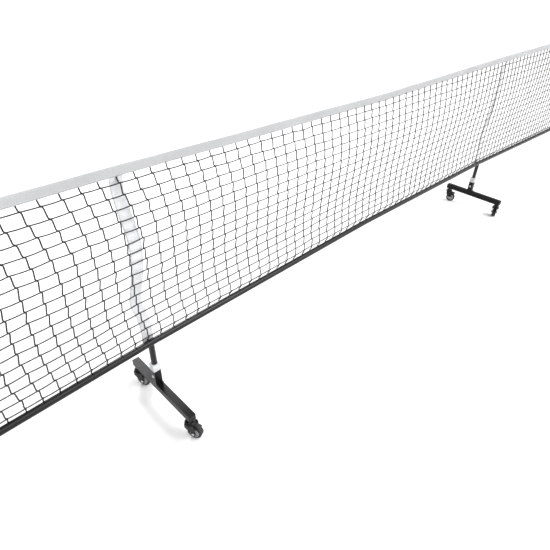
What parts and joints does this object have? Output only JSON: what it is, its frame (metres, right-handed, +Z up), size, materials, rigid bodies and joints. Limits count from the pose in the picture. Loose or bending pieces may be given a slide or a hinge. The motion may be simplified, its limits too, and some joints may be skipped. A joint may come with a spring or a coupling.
{
  "type": "portable court net on wheeled legs",
  "caption": "Low sports court net on a jointed tube frame, with T-shaped legs on swivelling casters so that it rolls on and off the court.",
  "frame": {"origin": "on the floor, midway between the two legs and at the middle of their foot beams", "axes": "+X along the net, +Y across it towards the side that the posts stand on, +Z up"},
  "size_m": [6.7344, 0.3653, 0.899],
  "materials": {
    "rail_tube": "satin black powder coat",
    "coupler": "dull black coat on an inner sleeve",
    "foot_beam": "satin black powder coat",
    "leg_socket": "satin black powder coat",
    "collar": "white moulded plastic",
    "elbow": "matt black moulded plastic",
    "end_cap": "matt black moulded plastic",
    "bolt": "bright zinc plate",
    "strap": "light grey polyester webbing",
    "net_sleeve": "black woven polyester",
    "net": "black knotted twine",
    "headband": "off-white coated polyester",
    "caster_steel": "zinc-plated steel",
    "fork": "black moulded nylon",
    "hub": "silver-grey moulded plastic",
    "tyre": "black rubber",
    "pedal": "dark grey moulded nylon"
  },
  "bodies": {
    "frame": {"rail_outer_left": "rail_tube", "rail_mid_left": "rail_tube", "rail_centre_left": "rail_tube", "rail_centre_right": "rail_tube", "rail_mid_right": "rail_tube", "rail_outer_right": "rail_tube", "coupler_left": "coupler", "coupler_centre": "coupler", "coupler_right": "coupler", "foot_beam_left": "foot_beam", "foot_beam_right": "foot_beam", "leg_socket_left": "leg_socket", "leg_socket_right": "leg_socket", "socket_collar_left": "collar", "socket_collar_right": "collar", "leg_post_left": "rail_tube", "leg_post_right": "rail_tube", "rail_tee_left": "rail_tube", "rail_tee_right": "rail_tube", "rail_elbow_left": "elbow", "rail_elbow_right": "elbow", "upright_left": "rail_tube", "upright_right": "rail_tube", "strap_left": "strap", "strap_right": "strap", "net_sleeve_left": "net_sleeve", "net_sleeve_right": "net_sleeve", "beam_end_caps": "end_cap", "socket_bolts": "bolt", "upright_caps": "end_cap", "net_panel": "net", "headband": "headband", "caster_stem_left_front": "caster_steel", "caster_stem_left_rear": "caster_steel", "caster_stem_right_front": "caster_steel", "caster_stem_right_rear": "caster_steel"},
    "swivel_left_front": {"fork_left_front": "fork", "axle_left_front": "caster_steel"},
    "wheel_left_front": {"hub_left_front": "hub", "tyre_left_front": "tyre"},
    "brake_left_front": {"brake_pedal_left_front": "pedal"},
    "swivel_left_rear": {"fork_left_rear": "fork", "axle_left_rear": "caster_steel"},
    "wheel_left_rear": {"hub_left_rear": "hub", "tyre_left_rear": "tyre"},
    "brake_left_rear": {"brake_pedal_left_rear": "pedal"},
    "swivel_right_front": {"fork_right_front": "fork", "axle_right_front": "caster_steel"},
    "wheel_right_front": {"hub_right_front": "hub", "tyre_right_front": "tyre"},
    "brake_right_front": {"brake_pedal_right_front": "pedal"},
    "swivel_right_rear": {"fork_right_rear": "fork", "axle_right_rear": "caster_steel"},
    "wheel_right_rear": {"hub_right_rear": "hub", "tyre_right_rear": "tyre"},
    "brake_right_rear": {"brake_pedal_right_rear": "pedal"}
  },
  "joints": [
    {"name": "swivel_turn_left_front", "type": "hinge", "parent": "frame", "child": "swivel_left_front", "pos_m": [-1.1175, -0.1525, 0.065], "axis": [0, 0, 1], "continuous": true},
    {"name": "wheel_spin_left_front", "type": "hinge", "parent": "swivel_left_front", "child": "wheel_left_front", "pos_m": [-1.11074, -0.167, 0.0254], "axis": [0.9063, 0.4226, 0], "continuous": true},
    {"name": "brake_press_left_front", "type": "hinge", "parent": "swivel_left_front", "child": "brake_left_front", "pos_m": [-1.11285, -0.16247, 0.056], "axis": [0.9063, 0.4226, 0], "range_deg": [0, 15]},
    {"name": "swivel_turn_left_rear", "type": "hinge", "parent": "frame", "child": "swivel_left_rear", "pos_m": [-1.1175, 0.1525, 0.065], "axis": [0, 0, 1], "continuous": true},
    {"name": "wheel_spin_left_rear", "type": "hinge", "parent": "swivel_left_rear", "child": "wheel_left_rear", "pos_m": [-1.11074, 0.138, 0.0254], "axis": [0.9063, 0.4226, 0], "continuous": true},
    {"name": "brake_press_left_rear", "type": "hinge", "parent": "swivel_left_rear", "child": "brake_left_rear", "pos_m": [-1.11285, 0.14253, 0.056], "axis": [0.9063, 0.4226, 0], "range_deg": [0, 15]},
    {"name": "swivel_turn_right_front", "type": "hinge", "parent": "frame", "child": "swivel_right_front", "pos_m": [1.1175, -0.1525, 0.065], "axis": [0, 0, 1], "continuous": true},
    {"name": "wheel_spin_right_front", "type": "hinge", "parent": "swivel_right_front", "child": "wheel_right_front", "pos_m": [1.1328, -0.14782, 0.0254], "axis": [-0.2924, 0.9563, 0], "continuous": true},
    {"name": "brake_press_right_front", "type": "hinge", "parent": "swivel_right_front", "child": "brake_right_front", "pos_m": [1.12802, -0.14928, 0.056], "axis": [-0.2924, 0.9563, 0], "range_deg": [0, 15]},
    {"name": "swivel_turn_right_rear", "type": "hinge", "parent": "frame", "child": "swivel_right_rear", "pos_m": [1.1175, 0.1525, 0.065], "axis": [0, 0, 1], "continuous": true},
    {"name": "wheel_spin_right_rear", "type": "hinge", "parent": "swivel_right_rear", "child": "wheel_right_rear", "pos_m": [1.12349, 0.13767, 0.0254], "axis": [0.9272, 0.3746, 0], "continuous": true},
    {"name": "brake_press_right_rear", "type": "hinge", "parent": "swivel_right_rear", "child": "brake_right_rear", "pos_m": [1.12162, 0.1423, 0.056], "axis": [0.9272, 0.3746, 0], "range_deg": [0, 15]}
  ]
}
